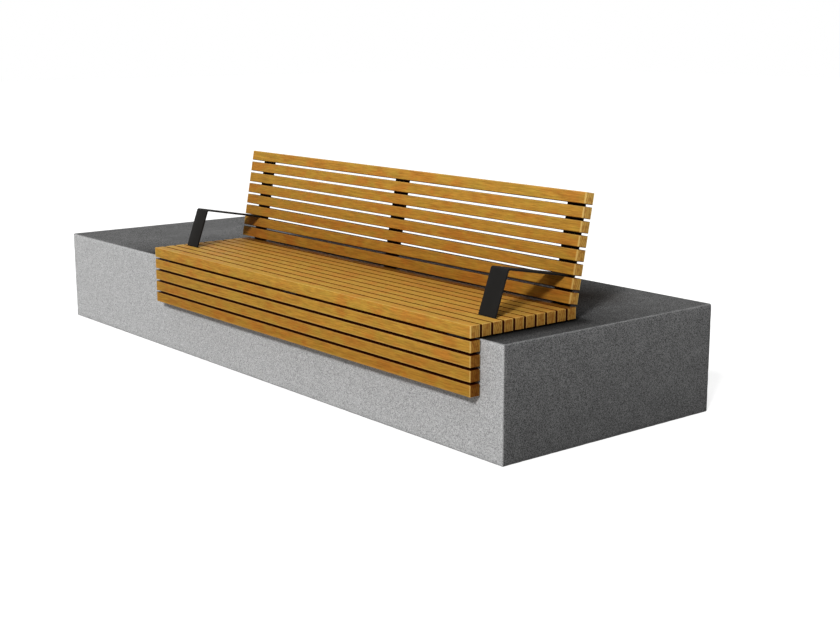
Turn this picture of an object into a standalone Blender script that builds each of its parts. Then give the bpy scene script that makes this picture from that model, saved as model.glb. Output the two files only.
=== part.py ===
# Slatted timber bench with a backrest and two armrests, on a long concrete plinth.
# Metres, +Z up. +X runs along the slats and the sitter faces -Y.
# Left and right are as seen from the front. The origin is the middle of the overall footprint,
# on the ground.

import math

import bmesh
import bpy
from mathutils import Matrix, Vector

# Gap between two pieces that touch on the real bench
FIT = 0.0003

# Concrete plinth
PLINTH_LENGTH = 3.0
PLINTH_DEPTH = 1.0
PLINTH_HEIGHT = 0.395
PLINTH_ARRIS = 0.005

# Flat steel bars that carry the slats
FLAT_WIDTH = 0.080
FLAT_THICKNESS = 0.006
FLAT_CORNER = 0.008  # corner radius at a bar's free end
CORNER_STEPS = 3
FLAT_INSET = 0.036  # slat end to the edge of an outer bar

# Timber slats, all of one square section
SLAT_LENGTH = 2.010
SLAT_SIZE = 0.040
SLAT_EASING = 0.0015
THREADING = 0.00075  # room on each face of a bar that passes between two slats
SEAT_SLATS = 10
FRONT_SLATS = 4
BACK_SLATS = 8
END_MARGIN = 0.104  # plinth end to slat end

# Backrest: the uprights stand straight behind the seat, then lean back
BACK_LEAN = math.radians(10.6)
CRANK_RISE = 0.016  # strap to the start of the lean
CRANK_RADIUS = 0.012
BACK_START = 0.031  # start of the lean to the lowest slat
END_SETBACK = 0.004  # end of a bar back from the outer face of the last slat

# Foot of the strap behind the uprights, narrowed to its end, with its stiffening rib
TAIL_LENGTH = 0.044
TAIL_SHOULDER = 0.020  # back of the upright to where the strap starts to narrow
TAIL_END_WIDTH = 0.024
RIB_SETBACK = 0.006  # end of the strap to the rib
RIB_RISE = 0.140
RIB_NOSE = 0.006  # blunt ends of the rib
RIB_SNIPE = 0.009  # corner cut away over the weld

# Armrests, each one bar with two bends
ARM_SEAT_GAP = 3  # seat slats in front of the leg
ARM_BACK_GAP = 2  # back slats below the arm
ARM_LEAN = math.radians(20.0)
ARM_KNEE_RISE = 0.004  # seat top to the leg's lower bend
ARM_KNEE_RADIUS = 0.010
ARM_BEND_RADIUS = 0.007
BEND_FACETS = 5  # facets in a quarter turn of a bend
ARM_SMOOTHING = math.radians(40)

# Screw holes, one where each slat crosses a bar: countersunk in the bar, a pilot in the slat
SINK_RADIUS = 0.0052
SINK_DEPTH = 0.0028
SINK_LAND = 0.0004
BORE_RADIUS = 0.0028
PILOT_RADIUS = 0.0020
PILOT_DEPTH = 0.026
SCREW_SIDES = 8

# Countersunk socket bolts that anchor the straps to the plinth. A long key turns them through
# the gaps between the seat slats
ANCHOR_RADIUS = 0.005
ANCHOR_DEPTH = 0.080
ANCHOR_CHAMFER = 0.001
ANCHOR_HEAD_RADIUS = 0.010
ANCHOR_RIM = 0.0004
ANCHOR_BELOW = 0.0001  # head top under the top of the strap
HOLE_CLEARANCE = 0.0008
SOCKET_ACROSS_FLATS = 0.006
SOCKET_DEPTH = 0.0036
ANCHOR_SIDES = 12

# Places that follow from the sizes above
SLAT_GAP = FLAT_THICKNESS + 2 * THREADING
SLAT_PITCH = SLAT_SIZE + SLAT_GAP
FRONT_REACH = SLAT_SIZE + FIT + FLAT_THICKNESS + FIT
PLINTH_FRONT = (FRONT_REACH - PLINTH_DEPTH) / 2
SLAT_FRONT = PLINTH_FRONT - FRONT_REACH
BENCH_X = PLINTH_LENGTH / 2 - END_MARGIN - SLAT_LENGTH / 2
SIDE_X = SLAT_LENGTH / 2 - FLAT_INSET - FLAT_WIDTH / 2
FIXING_X = (FLAT_WIDTH + FLAT_THICKNESS) / 4  # midway between rib and bar edge

STRAP_BOTTOM = PLINTH_HEIGHT + FIT
STRAP_TOP = STRAP_BOTTOM + FLAT_THICKNESS
SEAT_BOTTOM = STRAP_TOP + FIT
SEAT_TOP = SEAT_BOTTOM + SLAT_SIZE
SEAT_BACK = SLAT_FRONT + (SEAT_SLATS - 1) * SLAT_PITCH + SLAT_SIZE

UPRIGHT_Y = SEAT_BACK + FIT + FLAT_THICKNESS / 2
UPRIGHT_BACK = UPRIGHT_Y + FLAT_THICKNESS / 2
STRAP_END = UPRIGHT_BACK + TAIL_LENGTH
UP_BACK = Vector((0, math.sin(BACK_LEAN), math.cos(BACK_LEAN)))
REARWARD = Vector((0, math.cos(BACK_LEAN), -math.sin(BACK_LEAN)))
CRANK = Vector((0, UPRIGHT_Y, STRAP_TOP + CRANK_RISE))
BACK_LENGTH = BACK_START + BACK_SLATS * SLAT_PITCH - SLAT_GAP

SUPPORTS = {"left": -SIDE_X, "middle": 0.0, "right": SIDE_X}


def linear(code):
    """The linear colour of a six-digit sRGB code."""
    shares = [int(code[i : i + 2], 16) / 255 for i in (0, 2, 4)]
    return [s / 12.92 if s < 0.04045 else ((s + 0.055) / 1.055) ** 2.4 for s in shares] + [1.0]


def finish(name, code, roughness, metallic=0.0):
    material = bpy.data.materials.new(name)
    material.use_nodes = True
    shader = material.node_tree.nodes["Principled BSDF"]
    shader.inputs["Base Color"].default_value = linear(code)
    shader.inputs["Roughness"].default_value = roughness
    shader.inputs["Metallic"].default_value = metallic
    return material


def add_object(name, bm, material, parent=None):
    bmesh.ops.recalc_face_normals(bm, faces=bm.faces)
    mesh = bpy.data.meshes.new(name)
    bm.to_mesh(mesh)
    bm.free()
    obj = bpy.data.objects.new(name, mesh)
    bpy.context.scene.collection.objects.link(obj)
    obj.parent = parent
    if material:
        mesh.materials.append(material)
    return obj


def add_cutter(name, bm, parent):
    cutter = add_object(name, bm, None, parent)
    cutter.hide_render = True
    cutter.display_type = "WIRE"
    return cutter


def drill(obj, cutter):
    cut = obj.modifiers.new(cutter.name, "BOOLEAN")
    cut.operation = "DIFFERENCE"
    cut.object = cutter


def box(size):
    bm = bmesh.new()
    bmesh.ops.create_cube(bm, size=1, matrix=Matrix.Diagonal((*size, 1)))
    return bm


def extruded(points, step):
    """A flat closed outline made solid along one step."""
    bm = bmesh.new()
    face = bm.faces.new([bm.verts.new(point) for point in points])
    grown = bmesh.ops.extrude_face_region(bm, geom=[face])["geom"]
    moved = [item for item in grown if isinstance(item, bmesh.types.BMVert)]
    bmesh.ops.translate(bm, verts=moved, vec=step)
    return bm


def prism(outline, width):
    """A closed (y, z) outline made solid along X, centred on X = 0."""
    return extruded([(-width / 2, y, z) for y, z in outline], (width, 0, 0))


def round_corners(bm, is_end, radius):
    """Rounds the corner edges across a bar's thickness where is_end(y, z) holds."""
    edges = [
        edge
        for edge in bm.edges
        if all(is_end(v.co.y, v.co.z) for v in edge.verts) and edge.verts[0].co.x == edge.verts[1].co.x
    ]
    bmesh.ops.bevel(bm, geom=edges, offset=radius, segments=CORNER_STEPS, profile=0.5, affect="EDGES")


def stack(bm, rings, sides, matrix, shape=lambda angle: 1.0):
    """Joins (radius, height, shaped) rings about Z into one solid."""
    loops = []
    for radius, height, shaped in rings:
        loop = []
        for step in range(sides):
            angle = 2 * math.pi * step / sides
            reach = radius * (shape(angle) if shaped else 1.0)
            point = Vector((reach * math.cos(angle), reach * math.sin(angle), height))
            loop.append(bm.verts.new(matrix @ point))
        loops.append(loop)
    bm.faces.new(loops[0])
    bm.faces.new(loops[-1])
    for near, far in zip(loops, loops[1:]):
        for i in range(sides):
            j = (i + 1) % sides
            bm.faces.new((near[i], near[j], far[j], far[i]))


def bent_path(points, radii):
    """The (y, z) points of a centre line whose inner corners are arcs of the given radii."""
    path = [Vector(points[0])]
    for before, corner, after, radius in zip(points, points[1:], points[2:], radii):
        inward = (Vector(before) - Vector(corner)).normalized()
        outward = (Vector(after) - Vector(corner)).normalized()
        turn = math.pi - inward.angle(outward)
        middle = (inward + outward).normalized()
        centre = Vector(corner) + middle * radius / math.cos(turn / 2)
        side = 1 if inward.x * outward.y - inward.y * outward.x > 0 else -1
        steps = max(2, math.ceil(turn / (math.pi / 2) * BEND_FACETS))
        for step in range(steps + 1):
            angle = side * turn * (0.5 - step / steps)
            spoke = Matrix.Rotation(angle, 2) @ (-middle * radius)
            path.append(centre + spoke)
    path.append(Vector(points[-1]))
    return path


def bar_outline(points, radii):
    """The closed side outline of a flat bar bent along a centre line."""
    path = bent_path(points, radii)
    near, far = [], []
    for i, point in enumerate(path):
        heading_in = (point - path[i - 1]).normalized() if i else None
        heading_out = (path[i + 1] - point).normalized() if i + 1 < len(path) else None
        headings = [h for h in (heading_in, heading_out) if h]
        heading = sum(headings, Vector((0, 0))).normalized()
        side = Vector((-heading.y, heading.x)) * FLAT_THICKNESS / 2 / heading.dot(headings[0])
        near.append(point + side)
        far.append(point - side)
    return near + far[::-1]


def aimed(place, direction):
    """Stands a fixing's local Z along a direction."""
    turn = Vector((0, 0, 1)).rotation_difference(direction)
    return Matrix.Translation(place) @ turn.to_matrix().to_4x4()


def seat_slat_y(index):
    return SLAT_FRONT + SLAT_SIZE / 2 + index * SLAT_PITCH


def front_slat_z(index):
    return SEAT_BOTTOM + SLAT_SIZE / 2 - (index + 1) * SLAT_PITCH


def back_point(along, behind):
    """A point of the backrest: up the lean, then behind the middle of the uprights."""
    return CRANK + UP_BACK * along + REARWARD * behind


def back_slat_along(index):
    return BACK_START + SLAT_SIZE / 2 + index * SLAT_PITCH


def screw_places():
    """The mouth and direction of each screw hole, by family, to alternate sides of the bars."""
    places = {"seat": [], "front": [], "back": []}
    back_face = FLAT_THICKNESS / 2
    for bar_x in SUPPORTS.values():
        for i in range(SEAT_SLATS):
            head = (bar_x + FIXING_X * (-1) ** i, seat_slat_y(i), STRAP_BOTTOM)
            places["seat"].append(aimed(head, Vector((0, 0, 1))))
        for i in range(FRONT_SLATS):
            head = (bar_x + FIXING_X * (-1) ** i, PLINTH_FRONT - FIT, front_slat_z(i))
            places["front"].append(aimed(head, Vector((0, -1, 0))))
        for i in range(BACK_SLATS):
            head = back_point(back_slat_along(i), back_face)
            head.x = bar_x + FIXING_X * (-1) ** i
            places["back"].append(aimed(head, -REARWARD))
    return places


def screw_cutters(bench):
    """Cutters from each hole's mouth: a land, the countersink, the bar's bore, the slat's pilot."""
    slat_face = FLAT_THICKNESS + FIT / 2
    rings = [
        (SINK_RADIUS, -FIT / 2, False),
        (SINK_RADIUS, SINK_LAND, False),
        (BORE_RADIUS, SINK_LAND + SINK_DEPTH, False),
        (BORE_RADIUS, slat_face, False),
        (PILOT_RADIUS, slat_face, False),
        (PILOT_RADIUS, slat_face + PILOT_DEPTH, False),
    ]
    cutters = {}
    for family, places in screw_places().items():
        bm = bmesh.new()
        for matrix in places:
            stack(bm, rings, SCREW_SIDES, matrix)
        cutters[family] = add_cutter(f"{family}_screw_holes", bm, bench)
    return cutters


def add_slat(name, place, lean, bench, timber, cutter):
    slat = add_object(name, box((SLAT_LENGTH, SLAT_SIZE, SLAT_SIZE)), timber, bench)
    slat.location = place
    slat.rotation_euler = (-lean, 0, 0)
    easing = slat.modifiers.new("eased_edges", "BEVEL")
    easing.width = SLAT_EASING
    easing.segments = 1
    drill(slat, cutter)


def add_slats(bench, timber, cutters):
    for i in range(SEAT_SLATS):
        place = (0, seat_slat_y(i), SEAT_BOTTOM + SLAT_SIZE / 2)
        add_slat(f"seat_slat_{i + 1:02d}", place, 0, bench, timber, cutters["seat"])
    for i in range(FRONT_SLATS):
        place = (0, seat_slat_y(0), front_slat_z(i))
        add_slat(f"front_slat_{i + 1:02d}", place, 0, bench, timber, cutters["front"])
    behind = -FLAT_THICKNESS / 2 - FIT - SLAT_SIZE / 2
    for i in range(BACK_SLATS):
        place = back_point(back_slat_along(i), behind)
        add_slat(f"back_slat_{i + 1:02d}", place, BACK_LEAN, bench, timber, cutters["back"])


def add_strap(side, bar_x, bench, steel, cutters):
    """Flat bar under the seat slats, from the front slat to its narrowed foot behind the backrest."""
    front, shoulder = SLAT_FRONT + END_SETBACK, UPRIGHT_BACK + TAIL_SHOULDER
    plan = [(FLAT_WIDTH / 2, front), (FLAT_WIDTH / 2, shoulder), (TAIL_END_WIDTH / 2, STRAP_END)]
    plan += [(-x, y) for x, y in reversed(plan)]
    bm = extruded([(x, y, STRAP_BOTTOM) for x, y in plan], (0, 0, FLAT_THICKNESS))
    round_corners(bm, lambda y, z: y > STRAP_END - FIT, FLAT_CORNER)
    strap = add_object(f"seat_strap_{side}", bm, steel, bench)
    strap.location.x = bar_x
    drill(strap, cutters["seat"])
    drill(strap, cutters["anchor"])


def add_hanger(side, bar_x, bench, steel, cutters):
    """Flat bar that hangs from the strap, between the plinth and the front slats."""
    back, top = PLINTH_FRONT - FIT, STRAP_BOTTOM - FIT
    front = back - FLAT_THICKNESS
    bottom = front_slat_z(FRONT_SLATS - 1) - SLAT_SIZE / 2 + END_SETBACK
    bm = prism([(front, bottom), (back, bottom), (back, top), (front, top)], FLAT_WIDTH)
    round_corners(bm, lambda y, z: z < bottom + FIT, FLAT_CORNER)
    hanger = add_object(f"front_hanger_{side}", bm, steel, bench)
    hanger.location.x = bar_x
    drill(hanger, cutters["front"])


def add_upright(side, bar_x, bench, steel, cutters):
    """Cranked flat bar that stands on the strap and carries the back slats."""
    top = back_point(BACK_LENGTH - END_SETBACK, 0)
    points = [(UPRIGHT_Y, STRAP_TOP + FIT), CRANK.yz, top.yz]
    bm = prism(bar_outline(points, [CRANK_RADIUS]), FLAT_WIDTH)
    reach = (BACK_LENGTH - END_SETBACK) - FIT
    round_corners(bm, lambda y, z: (Vector((0, y, z)) - CRANK).dot(UP_BACK) > reach, FLAT_CORNER)
    upright = add_object(f"back_upright_{side}", bm, steel, bench)
    upright.location.x = bar_x
    drill(upright, cutters["back"])


def add_rib(side, bar_x, bench, steel):
    """Upright triangular plate that stiffens the foot of the backrest."""
    floor = STRAP_TOP + FIT
    face = FLAT_THICKNESS / 2 + FIT
    crank = CRANK + Vector((0, face, -face * math.tan(BACK_LEAN / 2)))
    crest = back_point(RIB_RISE, face)
    tip = crest + REARWARD * RIB_NOSE
    heel = STRAP_END - RIB_SETBACK
    outline = [
        (crank.y, floor + RIB_SNIPE),
        crank.yz,
        crest.yz,
        tip.yz,
        (heel, floor + RIB_NOSE),
        (heel, floor),
        (crank.y + RIB_SNIPE, floor),
    ]
    rib = add_object(f"upright_rib_{side}", prism(outline, FLAT_THICKNESS), steel, bench)
    rib.location.x = bar_x


def add_armrest(side, bar_x, bench, steel):
    """One flat bar: a leg up through the seat, a bend, then an arm back through the backrest."""
    leg_y = seat_slat_y(ARM_SEAT_GAP) - SLAT_PITCH / 2
    knee = Vector((leg_y, SEAT_TOP + ARM_KNEE_RISE))
    leg = Vector((math.sin(ARM_LEAN), math.cos(ARM_LEAN)))
    gap_along = BACK_START + ARM_BACK_GAP * SLAT_PITCH - SLAT_GAP / 2
    rear = back_point(gap_along, -FLAT_THICKNESS / 2 - FIT).yz
    forward = -REARWARD.yz
    across = rear - knee
    shared = leg.x * forward.y - leg.y * forward.x
    corner = knee + leg * (across.x * forward.y - across.y * forward.x) / shared
    points = [(leg_y, STRAP_TOP + FIT), knee, corner, rear]
    bm = prism(bar_outline(points, [ARM_KNEE_RADIUS, ARM_BEND_RADIUS]), FLAT_WIDTH)
    armrest = add_object(f"armrest_{side}", bm, steel, bench)
    armrest.location.x = bar_x
    armrest.data.shade_smooth()
    armrest.data.set_sharp_from_angle(angle=ARM_SMOOTHING)


def anchor_places():
    """The middle of each anchor bolt on plan, in a gap between two seat slats."""
    return [
        Matrix.Translation((bar_x, seat_slat_y(gap) - SLAT_PITCH / 2, 0))
        for bar_x in SUPPORTS.values()
        for gap in (ARM_SEAT_GAP + 1, SEAT_SLATS - 1)
    ]


def hexagon(angle):
    """Reach of a hexagon at an angle, as a share of its corner's."""
    return math.cos(math.pi / 6) / math.cos(angle % (math.pi / 3) - math.pi / 6)


def add_anchors(bench, zinc):
    """Countersunk socket bolts, and the cutters for their holes in the straps and the plinth."""
    head_top = STRAP_TOP - ANCHOR_BELOW
    rim_z = head_top - ANCHOR_RIM
    cone_z = rim_z - (ANCHOR_HEAD_RADIUS - ANCHOR_RADIUS)
    tip_z = PLINTH_HEIGHT - ANCHOR_DEPTH
    bore = ANCHOR_RADIUS + FIT
    wide = ANCHOR_RADIUS + HOLE_CLEARANCE
    sink_gap = FIT * math.sqrt(2)  # leaves FIT square to the cone
    corner = SOCKET_ACROSS_FLATS / 2 / math.cos(math.pi / 6)
    bolt = [
        (ANCHOR_RADIUS - ANCHOR_CHAMFER, tip_z, False),
        (ANCHOR_RADIUS, tip_z + ANCHOR_CHAMFER, False),
        (ANCHOR_RADIUS, cone_z, False),
        (ANCHOR_HEAD_RADIUS, rim_z, False),
        (ANCHOR_HEAD_RADIUS, head_top, False),
        (corner, head_top, True),
        (corner, head_top - SOCKET_DEPTH, True),
    ]
    hole = [
        (wide, PLINTH_HEIGHT, False),
        (wide, cone_z + HOLE_CLEARANCE - sink_gap, False),
        (ANCHOR_HEAD_RADIUS + sink_gap, rim_z, False),
        (ANCHOR_HEAD_RADIUS + sink_gap, STRAP_TOP + FIT, False),
    ]
    bores, holes = bmesh.new(), bmesh.new()
    for i, matrix in enumerate(anchor_places(), start=1):
        bm = bmesh.new()
        stack(bm, bolt, ANCHOR_SIDES, Matrix(), hexagon)
        piece = add_object(f"anchor_bolt_{i:02d}", bm, zinc, bench)
        piece.location = matrix.translation
        stack(bores, [(bore, tip_z - FIT, False), (bore, STRAP_BOTTOM, False)], ANCHOR_SIDES, matrix)
        stack(holes, hole, ANCHOR_SIDES, matrix)
    return add_cutter("anchor_bores", bores, bench), add_cutter("anchor_holes", holes, bench)


def add_plinth(concrete, bores):
    plinth = add_object("concrete_plinth", box((PLINTH_LENGTH, PLINTH_DEPTH, PLINTH_HEIGHT)), concrete)
    plinth.location = (0, PLINTH_FRONT + PLINTH_DEPTH / 2, PLINTH_HEIGHT / 2)
    arris = plinth.modifiers.new("worn_arris", "BEVEL")
    arris.width = PLINTH_ARRIS
    arris.segments = 2
    drill(plinth, bores)


def build():
    for obj in list(bpy.data.objects):
        bpy.data.objects.remove(obj, do_unlink=True)

    timber = finish("oiled_timber", "c08a3c", 0.45)
    black_steel = finish("black_coated_steel", "24211f", 0.42, 0.3)
    zinc = finish("zinc_plated_steel", "a8aaac", 0.35, 1.0)
    concrete = finish("cast_concrete", "a8a8a8", 0.85)

    bench = bpy.data.objects.new("bench_centre", None)
    bpy.context.scene.collection.objects.link(bench)
    bench.location.x = BENCH_X

    bores, holes = add_anchors(bench, zinc)
    cutters = screw_cutters(bench)
    cutters["anchor"] = holes
    add_plinth(concrete, bores)
    add_slats(bench, timber, cutters)
    for side, bar_x in SUPPORTS.items():
        add_strap(side, bar_x, bench, black_steel, cutters)
        add_hanger(side, bar_x, bench, black_steel, cutters)
        add_upright(side, bar_x, bench, black_steel, cutters)
        add_rib(side, bar_x, bench, black_steel)
    for side in ("left", "right"):
        add_armrest(side, SUPPORTS[side], bench, black_steel)


build()
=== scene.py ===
import math
import bmesh
import bpy
from mathutils import Matrix, Vector, noise


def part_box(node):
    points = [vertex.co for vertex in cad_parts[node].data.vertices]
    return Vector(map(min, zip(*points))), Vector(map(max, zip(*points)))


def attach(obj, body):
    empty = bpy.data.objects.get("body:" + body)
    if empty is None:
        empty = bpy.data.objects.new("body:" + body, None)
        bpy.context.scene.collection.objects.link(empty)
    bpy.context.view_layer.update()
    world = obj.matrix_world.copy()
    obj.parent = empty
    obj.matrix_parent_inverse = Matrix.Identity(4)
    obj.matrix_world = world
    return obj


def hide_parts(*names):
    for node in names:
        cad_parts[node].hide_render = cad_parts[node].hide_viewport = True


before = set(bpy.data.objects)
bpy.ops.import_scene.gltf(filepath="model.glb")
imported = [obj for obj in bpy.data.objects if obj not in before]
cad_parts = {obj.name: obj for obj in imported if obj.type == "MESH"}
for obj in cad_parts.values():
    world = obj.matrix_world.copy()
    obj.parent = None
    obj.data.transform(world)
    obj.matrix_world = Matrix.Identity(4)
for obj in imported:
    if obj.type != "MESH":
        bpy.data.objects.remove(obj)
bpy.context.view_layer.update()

print("frame loaded:", len(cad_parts), "nodes")

# Left and right are as seen from the front, as in the node names.
sides = ("left", "middle", "right")
mm = 0.001


def middleOf(node):
    low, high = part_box(node)
    return (Vector(low) + Vector(high)) / 2


def sizeOf(node):
    low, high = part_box(node)
    return Vector(high) - Vector(low)


# The lean of the backrest and the two directions along and across it, read from its slats.
backSpan = middleOf("back_slat_08") - middleOf("back_slat_01")
lean = math.atan2(backSpan.y, backSpan.z)
upBack = Vector((0, math.sin(lean), math.cos(lean)))
rearward = Vector((0, math.cos(lean), -math.sin(lean)))

slatSize = sizeOf("seat_slat_01").z
slatLength = sizeOf("seat_slat_01").x
barThick = sizeOf("seat_strap_left").z
barWide = sizeOf("seat_strap_left").x
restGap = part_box("seat_slat_01")[0].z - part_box("seat_strap_left")[1].z


def benchFootprint():
    low, high = (Vector(corner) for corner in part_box("seat_slat_10"))
    # From well below to well above, as only the plan counts
    return Vector((low.x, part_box("seat_slat_01")[0].y, -1)), Vector((high.x, high.y, 1))


# Scene helpers

def toLinear(hexColour):
    shares = [int(hexColour[i:i + 2], 16) / 255 for i in (0, 2, 4)]
    return tuple(s / 12.92 if s < 0.04045 else ((s + 0.055) / 1.055) ** 2.4 for s in shares) + (1.0,)


def perMetre(millimetres):
    return 1000 / millimetres  # a noise with this scale has grains of that size


def addNode(tree, kind, settings=None, links=None):
    made = tree.nodes.new(kind)
    for name, value in (settings or {}).items():
        if name == "stops":
            ramp = made.color_ramp
            while len(ramp.elements) < len(value):
                ramp.elements.new(1.0)
            for element, (place, colour) in zip(ramp.elements, value):
                element.position = place
                element.color = toLinear(colour) if isinstance(colour, str) else (colour,) * 3 + (1.0,)
        elif isinstance(name, int) or name in made.inputs:
            made.inputs[name].default_value = value
        else:
            setattr(made, name, value)
    for name, source in (links or {}).items():
        tree.links.new(source, made.inputs[name])
    return made


def newMaterial(name):
    material = bpy.data.materials.new(name)
    material.use_nodes = True
    material.node_tree.nodes.clear()
    return material, material.node_tree


def endMaterial(tree, shader):
    addNode(tree, "ShaderNodeOutputMaterial", links={"Surface": shader.outputs[0]})


def addPiece(name, bm, material, smoothAngle=30):
    bmesh.ops.recalc_face_normals(bm, faces=bm.faces)
    mesh = bpy.data.meshes.new(name)
    bm.to_mesh(mesh)
    bm.free()
    piece = bpy.data.objects.new(name, mesh)
    bpy.context.scene.collection.objects.link(piece)
    mesh.materials.append(material)
    mesh.shade_smooth()
    mesh.set_sharp_from_angle(angle=math.radians(smoothAngle))
    return piece


# Camera, matched to the photograph: its place, and the way it looks

cameraView = dict(
    place=(4.460, -3.246, 1.342),
    heading=50.57,  # degrees round to the right of the front
    down=11.92,
    lens=57.94,
)


def addCamera(view):
    data = bpy.data.cameras.new("camera")
    data.lens = view["lens"]
    camera = bpy.data.objects.new("camera", data)
    camera.location = view["place"]
    camera.rotation_euler = (math.radians(90 - view["down"]), 0, math.radians(view["heading"]))
    bpy.context.scene.collection.objects.link(camera)
    bpy.context.scene.camera = camera


# Light: a key from the front right, as the shadows in the photograph fall, a broad soft light
# overhead, and a weak one from behind for the far side

studio = dict(
    keyFrom=(0.58, -1.0, 0.75), keyStrength=2.95, keySoftness=8.0,  # degrees
    overheadFrom=(0.0, -0.15, 1.0), overheadStrength=0.9, overheadSoftness=50.0,
    fillFrom=(-0.6, 0.9, 0.18), fillStrength=0.7, fillSoftness=40.0,
    ambient=0.17,
    backdrop=1.0,
    floorSize=60.0,
    floorColour="b4b4b4",
    floorLift=0.70,
)


def addSun(name, comesFrom, strength, softness):
    data = bpy.data.lights.new(name, "SUN")
    data.energy = strength
    data.angle = math.radians(softness)
    sun = bpy.data.objects.new(name, data)
    sun.rotation_euler = Vector(comesFrom).to_track_quat("Z", "Y").to_euler()
    bpy.context.scene.collection.objects.link(sun)


def seenByCamera(tree):
    ray = addNode(tree, "ShaderNodeLightPath")
    glossy = addNode(tree, "ShaderNodeMath", {"operation": "MAXIMUM"}, {
        0: ray.outputs["Is Camera Ray"], 1: ray.outputs["Is Glossy Ray"]})
    return addNode(tree, "ShaderNodeMath", {"operation": "MAXIMUM"}, {
        0: glossy.outputs[0], 1: ray.outputs["Is Transmission Ray"]})


def addStudio(light):
    for name in ("key", "overhead", "fill"):
        addSun(name, light[name + "From"], light[name + "Strength"], light[name + "Softness"])

    world = bpy.data.worlds.new("studio")
    bpy.context.scene.world = world
    world.use_nodes = True
    tree = world.node_tree
    tree.nodes.clear()
    strength = addNode(tree, "ShaderNodeMapRange", {
        "To Min": light["ambient"], "To Max": light["backdrop"]}, {"Value": seenByCamera(tree).outputs[0]})
    white = addNode(tree, "ShaderNodeBackground", {"Color": (1, 1, 1, 1)}, {
        "Strength": strength.outputs["Result"]})
    addNode(tree, "ShaderNodeOutputWorld", links={"Surface": white.outputs[0]})

    bm = bmesh.new()
    bmesh.ops.create_grid(bm, x_segments=1, y_segments=1, size=light["floorSize"] / 2)
    mesh = bpy.data.meshes.new("floor")
    bm.to_mesh(mesh)
    bm.free()
    floor = bpy.data.objects.new("floor", mesh)
    floor.location.z = -restGap
    bpy.context.scene.collection.objects.link(floor)
    # Pale painted floor: matt, and lifted for the camera alone so that it meets the white backdrop
    material, tree = newMaterial("palePaintedFloor")
    paint = addNode(tree, "ShaderNodeBsdfDiffuse", {"Color": toLinear(light["floorColour"])})
    lift = addNode(tree, "ShaderNodeMath", {"operation": "MULTIPLY", 1: light["floorLift"]}, {
        0: seenByCamera(tree).outputs[0]})
    glow = addNode(tree, "ShaderNodeEmission", {"Color": (1, 1, 1, 1)}, {"Strength": lift.outputs[0]})
    both = addNode(tree, "ShaderNodeAddShader", links={0: paint.outputs[0], 1: glow.outputs[0]})
    endMaterial(tree, both)
    mesh.materials.append(material)


# Timber: iroko, planed and oiled. Oil brings out a honey brown with broad amber and olive patches
# under a fine speckled grain, and leaves a low satin sheen. The gaps are painted near black as shade,
# the arris carries a painted pale highlight, most of all at the sawn ends, faces that look up a
# painted sheen, and each slat a painted level of light and shade.

timber = dict(
    # The pale colour that ends the next line is a painted highlight for the arrises
    honey="b48636", amber="b4712d", olive="b0923a", dark="6b421a", rubbed="dab66a",
    # The near black that opens the next line is painted shade for the gaps
    sheltered="320e01", endGrain="c09044", endDark="93692c", endPatch="8a5422",
    roughness=(0.52, 0.72),
    ringMm=8.0, heartMm=150.0, heartSpreadMm=130.0, ringShare=0.10,
    wanderMm=420.0, wanderReachMm=20.0,  # how the rings bend along the slat
    amberMm=(130.0, 80.0), amberShare=0.60, oliveMm=(70.0, 30.0), oliveShare=0.46,
    speckMm=(55.0, 3.4), speckDepth=0.30,  # flecks 1 to 2 mm wide are drawn 3 mm wide, to show
    streakMm=(260.0, 3.0), streakShare=0.20,
    endPatchMm=(30.0, 15.0), endPatchShare=0.6,
    poreMm=(14.0, 1.0), poreShare=0.3,  # pores 0.2 mm wide are drawn 1 mm wide, to show
    redder=0.75, bluer=1.3,  # how red and blue fall as a slat darkens, against green
    # Width and shares of the painted pale highlight on the arrises
    highlightMm=4.0, highlightShare=0.75, arrisShare=0.36,
    # Painted sheen on faces that look up
    paintedSheen="dfbc68", paintedSheenShare=0.11,  # faces that lie open to the sky
)


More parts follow.
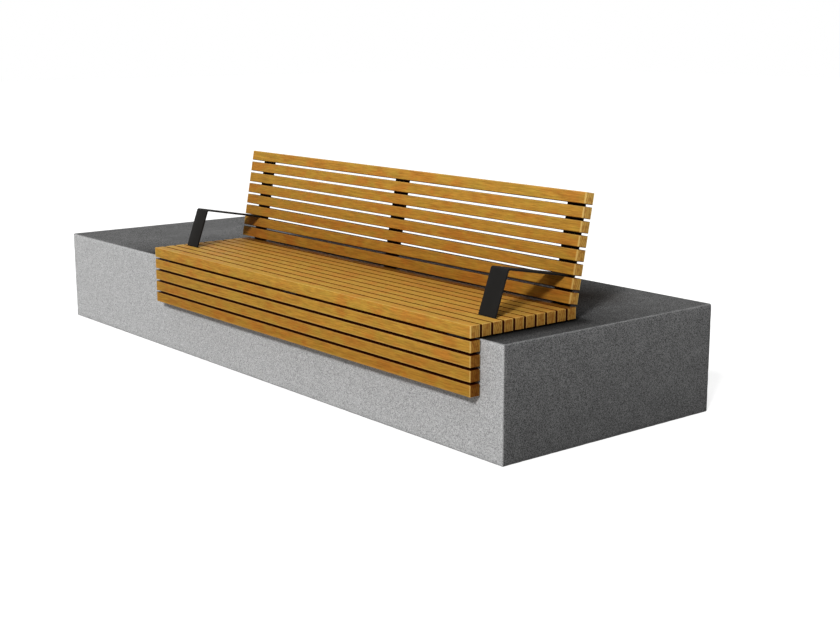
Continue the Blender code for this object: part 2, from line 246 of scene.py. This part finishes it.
def irokoOiled(look):
    material, tree = newMaterial("irokoPlanedAndOiled")
    coords = addNode(tree, "ShaderNodeTexCoord")
    place = coords.outputs["Object"]
    chance = addNode(tree, "ShaderNodeObjectInfo").outputs["Random"]
    # Each slat is cut from another part of the log
    shift = addNode(tree, "ShaderNodeVectorMath", {"operation": "SCALE", 0: (7.3, 2.1, 3.7)}, {
        "Scale": chance})
    cut = addNode(tree, "ShaderNodeVectorMath", {"operation": "ADD"}, {0: place, 1: shift.outputs[0]})

    def grain(size, detail, distortion=0.0):
        along, across = size
        stretched = addNode(tree, "ShaderNodeMapping", {
            "Scale": (perMetre(along), perMetre(across), perMetre(across))}, {"Vector": cut.outputs[0]})
        return addNode(tree, "ShaderNodeTexNoise", {
            "Scale": 1.0, "Detail": detail, "Roughness": 0.6, "Distortion": distortion}, {
            "Vector": stretched.outputs[0]}).outputs["Fac"]

    def stain(under, colour, share):
        return addNode(tree, "ShaderNodeMix", {"data_type": "RGBA", 7: toLinear(colour)}, {
            0: share, 6: under}).outputs[2]

    def spread(source, low, high, least, most):
        return addNode(tree, "ShaderNodeMapRange", {
            "From Min": low, "From Max": high, "To Min": least, "To Max": most}, {
            "Value": source}).outputs["Result"]

    def scaled(colour, level):
        return addNode(tree, "ShaderNodeVectorMath", {"operation": "SCALE"}, {
            0: colour, "Scale": level}).outputs[0]

    def painted(name):
        return addNode(tree, "ShaderNodeAttribute", {"attribute_name": name}).outputs["Fac"]

    def scaledShare(share, level):
        return addNode(tree, "ShaderNodeMath", {"operation": "MULTIPLY", 1: level}, {0: share}).outputs[0]

    streak = grain(look["streakMm"], 4.0, 0.5)
    pore = grain(look["poreMm"], 1.0)
    speck = grain(look["speckMm"], 2.0)

    # Growth rings about a heart well to one side, higher or lower from slat to slat
    highest = look["heartSpreadMm"] * mm / 2
    heartHeight = spread(chance, 0.0, 1.0, -highest, highest)
    heart = addNode(tree, "ShaderNodeCombineXYZ", {"Y": look["heartMm"] * mm}, {"Z": heartHeight})
    wander = addNode(tree, "ShaderNodeTexNoise", {"Scale": perMetre(look["wanderMm"]), "Detail": 2.0}, {
        "Vector": cut.outputs[0]})
    bent = addNode(tree, "ShaderNodeVectorMath", {
        "operation": "MULTIPLY_ADD", 1: (look["wanderReachMm"] * mm,) * 3}, {
        0: wander.outputs["Color"], 2: place})
    ringPlace = addNode(tree, "ShaderNodeVectorMath", {"operation": "ADD"}, {
        0: bent.outputs[0], 1: heart.outputs[0]})
    rings = addNode(tree, "ShaderNodeTexWave", {
        "wave_type": "RINGS", "rings_direction": "X", "wave_profile": "SAW",
        "Scale": 2 * math.pi / (20 * look["ringMm"] * mm),  # at 1, a ring is 2 pi / 20 wide
        "Distortion": 1.2, "Detail": 2.0, "Detail Scale": 1.6}, {"Vector": ringPlace.outputs[0]})

    # Long faces: honey, with patches, streaks, rings, pores and flecks over it
    base = addNode(tree, "ShaderNodeRGB")
    base.outputs[0].default_value = toLinear(look["honey"])
    amber = spread(grain(look["amberMm"], 1.0), 0.46, 0.62, 0.0, look["amberShare"])
    long = stain(base.outputs[0], look["amber"], amber)
    olive = spread(grain(look["oliveMm"], 2.0), 0.48, 0.64, 0.0, look["oliveShare"])
    long = stain(long, look["olive"], olive)
    long = stain(long, look["dark"], spread(streak, 0.52, 0.78, 0.0, look["streakShare"]))
    long = stain(long, look["dark"], spread(rings.outputs["Fac"], 0.3, 1.0, 0.0, look["ringShare"]))
    long = stain(long, look["dark"], spread(pore, 0.60, 0.74, 0.0, look["poreShare"]))
    long = scaled(long, spread(speck, 0.25, 0.75, 1 - look["speckDepth"], 1 + look["speckDepth"]))

    # A painted sheen on the faces that look up
    facing = addNode(tree, "ShaderNodeSeparateXYZ", links={"Vector": coords.outputs["Normal"]})
    skyward = spread(facing.outputs["Z"], 0.5, 0.9, 0.0, look["paintedSheenShare"])
    long = stain(long, look["paintedSheen"], skyward)

    # A painted pale highlight along the arris, strongest beside the sawn ends, which show the rings from
    # edge to edge
    long = stain(long, look["rubbed"], scaledShare(painted("rubbed"), look["arrisShare"]))
    apart = addNode(tree, "ShaderNodeSeparateXYZ", links={"Vector": place})
    reach = addNode(tree, "ShaderNodeMath", {"operation": "ABSOLUTE"}, {0: apart.outputs["X"]}).outputs[0]
    arris = slatLength / 2 - slats["easingMm"] * mm
    long = stain(long, look["rubbed"],
                 spread(reach, arris - look["highlightMm"] * mm, arris, 0.0, look["highlightShare"]))
    ends = addNode(tree, "ShaderNodeMix", {
        "data_type": "RGBA", 6: toLinear(look["endGrain"]), 7: toLinear(look["endDark"])}, {
        0: rings.outputs["Fac"]})
    aside = addNode(tree, "ShaderNodeMath", {"operation": "ABSOLUTE"}, {0: apart.outputs["Y"]}).outputs[0]
    sideArris = slatSize / 2 - slats["easingMm"] * mm
    patchy = stain(ends.outputs[2], look["endPatch"],
                   spread(grain(look["endPatchMm"], 1.0), 0.46, 0.60, 0.0, look["endPatchShare"]))
    sawn = stain(patchy, look["rubbed"],
                 spread(aside, sideArris - look["highlightMm"] * mm, sideArris, 0.0, look["highlightShare"]))
    atEnd = spread(reach, arris + 0.3 * mm, arris + 1.2 * mm, 0.0, 1.0)
    whole = addNode(tree, "ShaderNodeMix", {"data_type": "RGBA"}, {0: atEnd, 6: long, 7: sawn})

    # Painted light and shade: slats lower down and further back are darker and redder, some ends are
    # lighter, then painted shade makes the gaps near black
    weathered = painted("weathered")
    red = addNode(tree, "ShaderNodeMath", {"operation": "POWER", 1: look["redder"]}, {0: weathered})
    blue = addNode(tree, "ShaderNodeMath", {"operation": "POWER", 1: look["bluer"]}, {0: weathered})
    fade = addNode(tree, "ShaderNodeCombineXYZ", links={
        "X": red.outputs[0], "Y": weathered, "Z": blue.outputs[0]})
    faded = addNode(tree, "ShaderNodeVectorMath", {"operation": "MULTIPLY"}, {
        0: whole.outputs[2], 1: fade.outputs[0]})
    finished = stain(faded.outputs[0], look["sheltered"], painted("sheltered"))

    sheen = spread(streak, 0.0, 1.0, *look["roughness"])
    relief = addNode(tree, "ShaderNodeMath", {"operation": "ADD"}, {0: pore, 1: streak})
    bump = addNode(tree, "ShaderNodeBump", {"Strength": 0.25, "Distance": 0.4 * mm, "invert": True}, {
        "Height": relief.outputs[0]})
    shader = addNode(tree, "ShaderNodeBsdfPrincipled", {"IOR": 1.45, "Specular IOR Level": 0.03}, {
        "Base Color": finished, "Roughness": sheen, "Normal": bump.outputs["Normal"]})
    endMaterial(tree, shader)
    return material


slats = dict(easingMm=1.5, easingSteps=3)

# For each family: how many slats, the side that the next slat lies on, the side open to view, and
# whether it leans. Then for the edges towards the next slat and the last: how far the painted gap shade
# reaches beyond the easing, and how wide the painted pale highlight on the arris is. litMm is how far
# daylight reaches into the gap, and mouthKeeps the brightness that the painted shade leaves at the gap's
# mouth. faces and ends give the painted level of light and shade of the first slat and of the last, and
# the bend of the change between them: over 1 it comes late, under 1 early. lastKeeps is painted shade
# for the seat slat that lies under the backrest.
families = dict(
    seat_slat=dict(
        count=10, next=(0, 1, 0), open=(0, 0, 1), leans=False,
        gapShadeMm=(0.8, 0.6), highlightMm=(0.0, 3.5), litMm=3.0, mouthKeeps=0.36,
        faces=(1.04, 0.61, 1.9), ends=(1.09, 0.90, 0.45), lastKeeps=0.40),
    front_slat=dict(
        count=4, next=(0, 0, -1), open=(0, -1, 0), leans=False,
        gapShadeMm=(0.9, 0.0), highlightMm=(4.5, 3.5), litMm=0.0, mouthKeeps=1.0,
        faces=(0.90, 0.71, 1.2), ends=(0.66, 0.25, 0.33), lastKeeps=1.0),
    back_slat=dict(
        count=8, next=(0, 0, 1), open=(0, -1, 0), leans=True,
        gapShadeMm=(0.2, 1.8), highlightMm=(3.5, 0.0), litMm=0.0, mouthKeeps=1.0,
        faces=(0.49, 0.99, 0.85), ends=(1.17, 1.62, 2.2), lastKeeps=1.0),
)


def kept(levels, share):
    first, last, bend = levels
    return first + (last - first) * share ** bend


# Painted light and shade for each slat: gap shade, arris highlight and the slat's own level
def shadeSlat(piece, make, easing, share, neighbours):
    sheltered = piece.data.attributes.new("sheltered", "FLOAT", "POINT")
    rubbed = piece.data.attributes.new("rubbed", "FLOAT", "POINT")
    weathered = piece.data.attributes.new("weathered", "FLOAT", "POINT")
    towards, seen = Vector(make["next"]), Vector(make["open"])
    half = slatSize / 2
    for i, vert in enumerate(piece.data.vertices):
        height = vert.co.dot(towards)
        side = 0 if height > 0 else 1
        past = abs(height) - (half - easing)  # beyond where the easing starts
        inside = half - vert.co.dot(seen)  # behind the open face
        paintedShade, highlightWidth = make["gapShadeMm"][side] * mm, make["highlightMm"][side] * mm
        # Painted shade across the gap's faces, held back where daylight reaches in
        inGap = min(1.0, max(0.0, (past + paintedShade) / (easing / 2 + paintedShade))) if neighbours[side] else 0.0
        lit = min(1.0, inside / mm / make["litMm"]) if make["litMm"] else 1.0
        sheltered.data[i].value = lit * inGap
        # Painted pale highlight along the arris
        if highlightWidth:
            showing = max(0.0, 1 - inside / easing)
            rubbed.data[i].value = showing * min(1.0, max(0.0, (past + highlightWidth) / (highlightWidth - paintedShade)))
        atEnd = abs(vert.co.x) > slatLength / 2 - 0.1 * mm
        # Painted light and shade: each slat's level, lower in the gap's mouth and under the backrest
        level = kept(make["ends"] if atEnd else make["faces"], share)
        if not atEnd:
            level *= 1 - inGap * (1 - make["mouthKeeps"])
            level *= make["lastKeeps"] if share == 1 else 1
        weathered.data[i].value = level


def addSlats(look, material):
    easing = look["easingMm"] * mm
    for family, make in families.items():
        towards, seen = Vector(make["next"]), Vector(make["open"])
        for number in range(1, make["count"] + 1):
            node = f"{family}_{number:02d}"
            bm = bmesh.new()
            bmesh.ops.create_cube(bm, size=1, matrix=Matrix.Diagonal((slatLength, slatSize, slatSize, 1)))
            bmesh.ops.bevel(bm, geom=bm.edges[:], offset=easing, segments=look["easingSteps"],
                            profile=0.5, affect="EDGES")
            # Rows of points where the painted gap shade, the painted arris highlight and daylight end
            edge = slatSize / 2 - easing
            rows = [(seen, slatSize / 2 - make["litMm"] * mm)] if make["litMm"] else []
            for side, width in enumerate(zip(make["gapShadeMm"], make["highlightMm"])):
                rows += [(towards * (-1) ** side, edge - wide * mm) for wide in width if wide]
            for normal, distance in rows:
                bmesh.ops.bisect_plane(bm, geom=bm.verts[:] + bm.edges[:] + bm.faces[:],
                                       plane_co=normal * distance, plane_no=normal, dist=1e-6)
            slat = addPiece(node + "_planed", bm, material)
            # The first front slat hangs under the first seat slat, so it has a neighbour above
            neighbours = (number < make["count"], number > 1 or family == "front_slat")
            shadeSlat(slat, make, easing, (number - 1) / (make["count"] - 1), neighbours)
            slat.location = middleOf(node)
            slat.rotation_euler.x = -lean if make["leans"] else 0
            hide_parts(node)
            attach(slat, "root")


# Concrete: cast in a steel mould. The long faces are acid etched, which bares a light fine grain.
# The top and ends are left as struck, darker and smoother. Shade is painted round the bench, with a
# painted shadow behind the backrest, the ends darken towards the foot, and the arris is worn pale and
# carries a painted highlight.

concrete = dict(
    # The fourth colour is the arris, worn pale and with a painted highlight
    etched="acacac", end="676767", top="5f5f5f", worn="858585", pit="3a3a3a",
    roughness=0.88,
    # Grit of 1 to 2 mm is drawn 4 mm wide, to show
    grainMm=3.6, sandMm=2.2, sandShare=0.8, mottleMm=55.0, cloudMm=300.0,
    pitMm=34.0, pitWidth=0.07, pitChance=0.3, pitDarkness=0.5,
    etchedContrast=0.60, etchedSpread=0.30, struckContrast=0.70, struckSpread=0.20,
    mottleDepth=0.13, cloudDepth=0.10,
    # Painted shade round the bench: the level by the distance in metres from its footprint
    shadeByMetre=((0.0, 0.12), (0.034, 0.26), (0.066, 0.56), (0.3, 0.86), (0.5, 1.08), (0.85, 0.96)),
    # Behind the backrest a brown painted shadow: how far back, how far it fades, how much it hides
    leeMm=320.0, leeEndMm=310.0, leeFadeMm=220.0, leeShadow="201508", leeShare=0.83,
    # The long faces grow a little lighter towards the left end; the top much lighter, a painted sheen
    etchedLeft=1.04, etchedRight=0.96, topLeft=1.26, topRight=0.93,
    # The ends grow darker towards the foot: the level there, and the height where it ends
    footKeeps=0.70, footDarkHeight=0.36,
    arrisMm=5.0, arrisSteps=3, arrisWearAndHighlight=0.5,
    chipMm=2.6, chipLengthMm=26.0, chipRarity=0.1, stepMm=20.0,
)


def concreteCast(look):
    material, tree = newMaterial("concreteCastAndEtched")
    coords = addNode(tree, "ShaderNodeTexCoord")
    place = coords.outputs["Object"]
    facing = addNode(tree, "ShaderNodeVectorMath", {"operation": "ABSOLUTE"}, {
        0: coords.outputs["Normal"]})
    face = addNode(tree, "ShaderNodeSeparateXYZ", links={"Vector": facing.outputs[0]})

    def speckle(sizeMm, detail):
        return addNode(tree, "ShaderNodeTexNoise", {
            "Scale": perMetre(sizeMm), "Detail": detail, "Roughness": 0.6}, {
            "Vector": place}).outputs["Fac"]

    def share(source, low, high, least=0.0, most=1.0):
        return addNode(tree, "ShaderNodeMapRange", {
            "From Min": low, "From Max": high, "To Min": least, "To Max": most}, {
            "Value": source}).outputs["Result"]

    def blend(part, under, over):
        return addNode(tree, "ShaderNodeMix", {"data_type": "RGBA"}, {
            0: part, 6: under, 7: over}).outputs[2]

    def flat(hexColour):
        made = addNode(tree, "ShaderNodeRGB")
        made.outputs[0].default_value = toLinear(hexColour)
        return made.outputs[0]

    def times(one, other):
        return addNode(tree, "ShaderNodeMath", {"operation": "MULTIPLY"}, {0: one, 1: other}).outputs[0]

    isLong = share(face.outputs["Y"], 0.6, 0.8)
    isTop = share(face.outputs["Z"], 0.6, 0.8)

    def awayFrom(low, high):
        # The distance outside a box
        centred = addNode(tree, "ShaderNodeVectorMath", {
            "operation": "SUBTRACT", 1: tuple((low + high) / 2)}, {0: place})
        folded = addNode(tree, "ShaderNodeVectorMath", {"operation": "ABSOLUTE"}, {0: centred.outputs[0]})
        beyond = addNode(tree, "ShaderNodeVectorMath", {
            "operation": "SUBTRACT", 1: tuple((high - low) / 2)}, {0: folded.outputs[0]})
        outside = addNode(tree, "ShaderNodeVectorMath", {"operation": "MAXIMUM", 1: (0, 0, 0)}, {
            0: beyond.outputs[0]})
        return addNode(tree, "ShaderNodeVectorMath", {"operation": "LENGTH"}, {
            0: outside.outputs[0]}).outputs["Value"]

    # Painted shade by the distance from the bench's footprint, and a painted shadow in the lee of the
    # backrest
    low, high = benchFootprint()
    leeHigh = Vector((high.x - look["leeEndMm"] * mm, high.y + look["leeMm"] * mm, high.z))
    lee = share(awayFrom(low, leeHigh), 0.0, look["leeFadeMm"] * mm, look["leeShare"], 0.0)
    furthest = look["shadeByMetre"][-1][0]
    brightest = look["shadeByMetre"][-1][1]
    steps = [(metres / furthest, level / brightest) for metres, level in look["shadeByMetre"]]
    paintedShade = addNode(tree, "ShaderNodeValToRGB", {"stops": steps}, {
        "Fac": share(awayFrom(low, high), 0.0, furthest)})
    benchShadeLevel = addNode(tree, "ShaderNodeMath", {"operation": "MULTIPLY", 1: brightest}, {
        0: paintedShade.outputs["Color"]})

    apart = addNode(tree, "ShaderNodeSeparateXYZ", links={"Vector": place})
    footDark = share(apart.outputs["Z"], 0.0, look["footDarkHeight"], look["footKeeps"], 1.0)
    leftEnd, rightEnd = (corner.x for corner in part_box("concrete_plinth"))
    # Lighter towards the left end; on the top, a painted sheen
    etchedAlong = share(apart.outputs["X"], leftEnd, rightEnd, look["etchedLeft"], look["etchedRight"])
    topAlong = share(apart.outputs["X"], leftEnd, rightEnd, look["topLeft"], look["topRight"])

    # Each kind of face, at its own level and with its own contrast of grain
    grain = speckle(look["grainMm"], 2.0)
    sand = speckle(look["sandMm"], 1.0)
    mixed = addNode(tree, "ShaderNodeMath", {"operation": "MULTIPLY_ADD", 1: look["sandShare"]}, {
        0: sand, 2: grain})
    depth = look["mottleDepth"]
    mottled = share(speckle(look["mottleMm"], 3.0), 0.2, 0.8, 1 - depth, 1 + depth)
    depth = look["cloudDepth"]
    cloudy = share(speckle(look["cloudMm"], 4.0), 0.3, 0.7, 1 - depth, 1 + depth)

    def gritty(kind):
        contrast, wide = look[kind + "Contrast"], look[kind + "Spread"]
        middle = (1 + look["sandShare"]) / 2
        return share(mixed.outputs[0], middle - wide, middle + wide, 1 - contrast, 1 + contrast)

    etchedGain, struckGain = gritty("etched"), gritty("struck")

    def scaled(colour, *levels):
        for level in levels:
            colour = addNode(tree, "ShaderNodeVectorMath", {"operation": "SCALE"}, {
                0: colour, "Scale": level}).outputs[0]
        return colour

    etched = scaled(flat(look["etched"]), etchedGain, etchedAlong)
    end = scaled(flat(look["end"]), struckGain, mottled, footDark)
    # The top carries the painted shade round the bench, then the painted shadow behind the backrest
    top = scaled(flat(look["top"]), cloudy, benchShadeLevel.outputs[0], topAlong)
    top = scaled(blend(lee, top, flat(look["leeShadow"])), struckGain, mottled)
    tone = blend(isLong, blend(isTop, end, top), etched)
    # The arris is where no one direction leads; it is worn pale and carries a painted highlight
    lead = addNode(tree, "ShaderNodeMath", {"operation": "MAXIMUM"}, {
        0: face.outputs["X"], 1: face.outputs["Y"]})
    most = addNode(tree, "ShaderNodeMath", {"operation": "MAXIMUM"}, {
        0: lead.outputs[0], 1: face.outputs["Z"]})
    worn = blend(share(most.outputs[0], 0.97, 0.89, 0.0, look["arrisWearAndHighlight"]), tone,
                 scaled(flat(look["worn"]), etchedGain))
    # Air bubbles against the mould leave small dark pits, few and far between
    pits = addNode(tree, "ShaderNodeTexVoronoi", {"Scale": perMetre(look["pitMm"])}, {"Vector": place})
    near = addNode(tree, "ShaderNodeMath", {"operation": "LESS_THAN", 1: look["pitWidth"]}, {
        0: pits.outputs["Distance"]})
    chance = addNode(tree, "ShaderNodeSeparateColor", links={"Color": pits.outputs["Color"]})
    few = addNode(tree, "ShaderNodeMath", {"operation": "LESS_THAN", 1: look["pitChance"]}, {
        0: chance.outputs[0]})
    pit = times(near.outputs[0], few.outputs[0])
    softPit = addNode(tree, "ShaderNodeMath", {"operation": "MULTIPLY", 1: look["pitDarkness"]}, {0: pit})
    pitted = blend(softPit.outputs[0], worn, flat(look["pit"]))

    height = addNode(tree, "ShaderNodeMath", {"operation": "SUBTRACT"}, {0: mixed.outputs[0], 1: pit})
    bump = addNode(tree, "ShaderNodeBump", {"Strength": 0.4, "Distance": 1.0 * mm}, {
        "Height": height.outputs[0]})
    shader = addNode(tree, "ShaderNodeBsdfPrincipled", {
        "Roughness": look["roughness"], "IOR": 1.5, "Specular IOR Level": 0.0}, {
        "Base Color": pitted, "Normal": bump.outputs["Normal"]})
    endMaterial(tree, shader)
    return material


def addPlinth(look, material):
    low, high = (Vector(corner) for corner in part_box("concrete_plinth"))
    size, middle = high - low, (low + high) / 2
    bm = bmesh.new()
    bmesh.ops.create_cube(bm, size=1, matrix=Matrix.Translation(middle) @ Matrix.Diagonal((*size, 1)))
    bmesh.ops.bevel(bm, geom=bm.edges[:], offset=look["arrisMm"] * mm,
                    segments=look["arrisSteps"], profile=0.5, affect="EDGES")
    step = look["stepMm"] * mm
    for axis in range(3):
        normal = Vector([float(i == axis) for i in range(3)])
        cuts = int(size[axis] / step)
        for i in range(1, cuts):
            point = low + normal * size[axis] * i / cuts
            bmesh.ops.bisect_plane(bm, geom=bm.verts[:] + bm.edges[:] + bm.faces[:],
                                   plane_co=point, plane_no=normal, dist=1e-6)
    # Small chips along the arrises, always inwards
    arris = look["arrisMm"] * mm
    for vert in bm.verts:
        depth = [min(vert.co[i] - low[i], high[i] - vert.co[i]) for i in range(3)]
        if sorted(depth)[1] < arris * 0.9:
            chip = max(0.0, noise.noise(vert.co / (look["chipLengthMm"] * mm)) - look["chipRarity"])
            towards = middle - vert.co
            inward = Vector([math.copysign(1, towards[i]) * (depth[i] < arris) for i in range(3)])
            vert.co += inward.normalized() * chip * look["chipMm"] * mm
    plinth = addPiece("plinth_cast", bm, material, smoothAngle=40)
    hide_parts("concrete_plinth")
    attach(plinth, "root")


# Steel bars: hot-rolled flat, blasted and powder coated in fine-texture black. The coat softens
# every edge and has a faint orange peel and a low sheen.

coat = dict(
    colour="1a1918", worn="252423", roughness=(0.59, 0.75),
    peelMm=1.6, dustMm=90.0, dustShare=0.5,
)


def steelPowderCoated(look):
    material, tree = newMaterial("steelPowderCoatedBlack")
    place = addNode(tree, "ShaderNodeTexCoord").outputs["Object"]
    peel = addNode(tree, "ShaderNodeTexNoise", {"Scale": perMetre(look["peelMm"]), "Detail": 1.0}, {
        "Vector": place})
    dust = addNode(tree, "ShaderNodeTexNoise", {"Scale": perMetre(look["dustMm"]), "Detail": 5.0}, {
        "Vector": place})
    dusty = addNode(tree, "ShaderNodeMapRange", {
        "From Min": 0.4, "From Max": 0.75, "To Max": look["dustShare"]}, {"Value": dust.outputs["Fac"]})
    colour = addNode(tree, "ShaderNodeMix", {
        "data_type": "RGBA", 6: toLinear(look["colour"]), 7: toLinear(look["worn"])}, {
        0: dusty.outputs["Result"]})
    smoothest, roughest = look["roughness"]
    rough = addNode(tree, "ShaderNodeMapRange", {"To Min": smoothest, "To Max": roughest}, {
        "Value": dust.outputs["Fac"]})
    bump = addNode(tree, "ShaderNodeBump", {"Strength": 0.2, "Distance": 0.15 * mm}, {
        "Height": peel.outputs["Fac"]})
    shader = addNode(tree, "ShaderNodeBsdfPrincipled", {"IOR": 1.5, "Specular IOR Level": 0.06}, {
        "Base Color": colour.outputs[2], "Roughness": rough.outputs["Result"],
        "Normal": bump.outputs["Normal"]})
    endMaterial(tree, shader)
    return material


bars = dict(edgeMm=0.7, edgeSteps=2, shortestMm=5.0, foldDegrees=30.0, flatDegrees=0.5, mergeMm=0.01)


def addBars(look, material):
    kinds = ["seat_strap", "front_hanger", "back_upright", "upright_rib"]
    nodes = [f"{kind}_{side}" for kind in kinds for side in sides]
    for node in nodes + ["armrest_left", "armrest_right"]:
        bm = bmesh.new()
        bm.from_mesh(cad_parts[node].data)
        bmesh.ops.remove_doubles(bm, verts=bm.verts, dist=look["mergeMm"] * mm)
        bmesh.ops.dissolve_limit(bm, angle_limit=math.radians(look["flatDegrees"]),
                                 verts=bm.verts, edges=bm.edges)
        # The coat rounds the bar's own edges; the rims of its holes are too short to count
        folds = [edge for edge in bm.edges
                 if len(edge.link_faces) == 2
                 and edge.calc_face_angle(0) > math.radians(look["foldDegrees"])
                 and edge.calc_length() > look["shortestMm"] * mm]
        bmesh.ops.bevel(bm, geom=folds, offset=look["edgeMm"] * mm, segments=look["edgeSteps"],
                        profile=0.5, affect="EDGES", clamp_overlap=True)
        bar = addPiece(node + "_coated", bm, material, smoothAngle=35)
        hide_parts(node)
        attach(bar, "root")


# Fixings: zinc-plated anchor bolts and wood screws, bright but not polished

zinc = dict(colour="b9bcbf", shade="8f9396", roughness=(0.24, 0.48), spangleMm=6.0)


def steelZincPlated(look):
    material, tree = newMaterial("steelZincPlated")
    place = addNode(tree, "ShaderNodeTexCoord").outputs["Object"]
    spangle = addNode(tree, "ShaderNodeTexNoise", {"Scale": perMetre(look["spangleMm"]), "Detail": 3.0}, {
        "Vector": place})
    colour = addNode(tree, "ShaderNodeMix", {
        "data_type": "RGBA", 6: toLinear(look["colour"]), 7: toLinear(look["shade"])}, {
        0: spangle.outputs["Fac"]})
    smoothest, roughest = look["roughness"]
    rough = addNode(tree, "ShaderNodeMapRange", {"To Min": smoothest, "To Max": roughest}, {
        "Value": spangle.outputs["Fac"]})
    shader = addNode(tree, "ShaderNodeBsdfPrincipled", {"Metallic": 1.0}, {
        "Base Color": colour.outputs[2], "Roughness": rough.outputs["Result"]})
    endMaterial(tree, shader)
    return material


screws = dict(
    headMm=4.9, rimMm=0.4, headDepthMm=2.7, shankMm=2.4, lengthMm=32.0, tipMm=5.0, pointMm=0.3,
    easingMm=0.3, sunkMm=0.1, socketMm=2.0, socketDepthMm=1.8, socketTaper=0.98, faces=24,
)


def spun(bm, profile, faces, matrix, sixSided=()):
    loops = []
    for index, (radius, height) in enumerate(profile):
        loop = []
        for i in range(faces):
            angle = 2 * math.pi * i / faces
            turn = angle % (math.pi / 3) - math.pi / 6
            reach = radius * (math.cos(math.pi / 6) / math.cos(turn) if index in sixSided else 1)
            corner = Vector((reach * math.cos(angle), reach * math.sin(angle), height))
            loop.append(bm.verts.new(matrix @ corner))
        loops.append(loop)
    for near, far in zip(loops, loops[1:]):
        for i in range(faces):
            j = (i + 1) % faces
            bm.faces.new((near[i], near[j], far[j], far[i]))
    bm.faces.new(loops[0])
    bm.faces.new(loops[-1])


def screwPlaces(side):
    barX = middleOf(f"seat_strap_{side}").x
    aside = (barWide + barThick) / 4  # midway between the rib and the bar's edge
    throughBar = slatSize / 2 + restGap + barThick
    for family, make in families.items():
        inward = -rearward if make["leans"] else Vector(make["open"])
        for number in range(1, make["count"] + 1):
            head = middleOf(f"{family}_{number:02d}") - inward * throughBar
            head.x = barX + aside * (-1) ** (number - 1)
            turn = Vector((0, 0, 1)).rotation_difference(inward)
            yield Matrix.Translation(head) @ turn.to_matrix().to_4x4()


def addScrews(look, material):
    profile = [(look["socketMm"] * look["socketTaper"], look["socketDepthMm"]),
               (look["socketMm"], look["sunkMm"]),
               (look["headMm"] - look["easingMm"], look["sunkMm"]), (look["headMm"], look["rimMm"]),
               (look["shankMm"], look["rimMm"] + look["headDepthMm"]),
               (look["shankMm"], look["lengthMm"] - look["tipMm"]),
               (look["pointMm"], look["lengthMm"])]
    profile = [(radius * mm, height * mm) for radius, height in profile]
    for side in sides:
        bm = bmesh.new()
        for matrix in screwPlaces(side):
            spun(bm, profile, look["faces"], matrix, sixSided=(0, 1))
        screwSet = addPiece(f"slat_screws_{side}", bm, material)
        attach(screwSet, "root")


def finishAnchors(material):
    for number in range(1, 7):
        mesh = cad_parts[f"anchor_bolt_{number:02d}"].data
        mesh.materials.clear()
        mesh.materials.append(material)


# Welds: fillets that join each upright and its rib to the strap, rippled as the torch moved on

welds = dict(
    radiusMm=2.4, rippleMm=3.0, rippleShare=0.16, loopsPerRipple=4, fewestLoops=8, sides=8,
    endMm=3.0, endShare=0.3,  # where the torch leaves, the bead thins to this share
    insetMm=4.0, toeMm=10.0, belowShare=0.8,
)


def weldBead(bm, look, start, end):
    along = end - start
    length = along.length
    along.normalize()
    side = along.orthogonal().normalized()
    other = along.cross(side)
    ripple = look["rippleMm"] * mm
    count = max(look["fewestLoops"], int(length / ripple * look["loopsPerRipple"]))
    loops = []
    for i in range(count + 1):
        place = length * i / count
        swell = 1 - look["rippleShare"] * (0.5 + 0.5 * math.cos(2 * math.pi * place / ripple))
        toEnd = min(1.0, min(place, length - place) / (look["endMm"] * mm))
        radius = look["radiusMm"] * mm * swell * max(look["endShare"], math.sqrt(toEnd))
        centre = start + along * place
        loops.append([
            bm.verts.new(centre + (side * math.cos(a) + other * math.sin(a)) * radius)
            for a in (2 * math.pi * k / look["sides"] for k in range(look["sides"]))])
    for near, far in zip(loops, loops[1:]):
        for k in range(look["sides"]):
            j = (k + 1) % look["sides"]
            bm.faces.new((near[k], near[j], far[j], far[k]))
    bm.faces.new(loops[0])
    bm.faces.new(loops[-1])


def addWelds(look, material):
    for side in sides:
        strapLow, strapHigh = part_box(f"seat_strap_{side}")
        ribLow, ribHigh = (Vector(corner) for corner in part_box(f"upright_rib_{side}"))
        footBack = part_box(f"back_upright_{side}")[0].y + barThick
        top = strapHigh.z
        bm = bmesh.new()
        inset = look["insetMm"] * mm
        footEdges = ((strapLow.x + inset, ribLow.x - inset), (strapHigh.x - inset, ribHigh.x + inset))
        for edgeX, ribX in footEdges:
            weldBead(bm, look, Vector((edgeX, footBack, top)), Vector((ribX, footBack, top)))
        for ribX in (ribLow.x, ribHigh.x):
            toe = Vector((ribX, footBack + look["toeMm"] * mm, top))
            weldBead(bm, look, toe, Vector((ribX, ribHigh.y - inset, top)))
            crest = middleOf("back_slat_01") + rearward * (slatSize / 2 + restGap + barThick)
            crest.x = ribX
            rise = (ribHigh.z - crest.z) / upBack.z
            weldBead(bm, look, crest - upBack * (slatSize * look["belowShare"]),
                     crest + upBack * (rise - inset))
        weld = addPiece(f"welds_{side}", bm, material, smoothAngle=60)
        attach(weld, "root")


addCamera(cameraView)
addStudio(studio)
print("camera and studio ready")

addPlinth(concrete, concreteCast(concrete))
print("plinth cast")
addSlats(slats, irokoOiled(timber))
print("slats fitted")
coatedSteel = steelPowderCoated(coat)
addBars(bars, coatedSteel)
addWelds(welds, coatedSteel)
print("bars and welds coated")
platedSteel = steelZincPlated(zinc)
addScrews(screws, platedSteel)
finishAnchors(platedSteel)
print("screws and anchors in")

bpy.context.scene.view_settings.view_transform = "Standard"
bpy.context.view_layer.update()
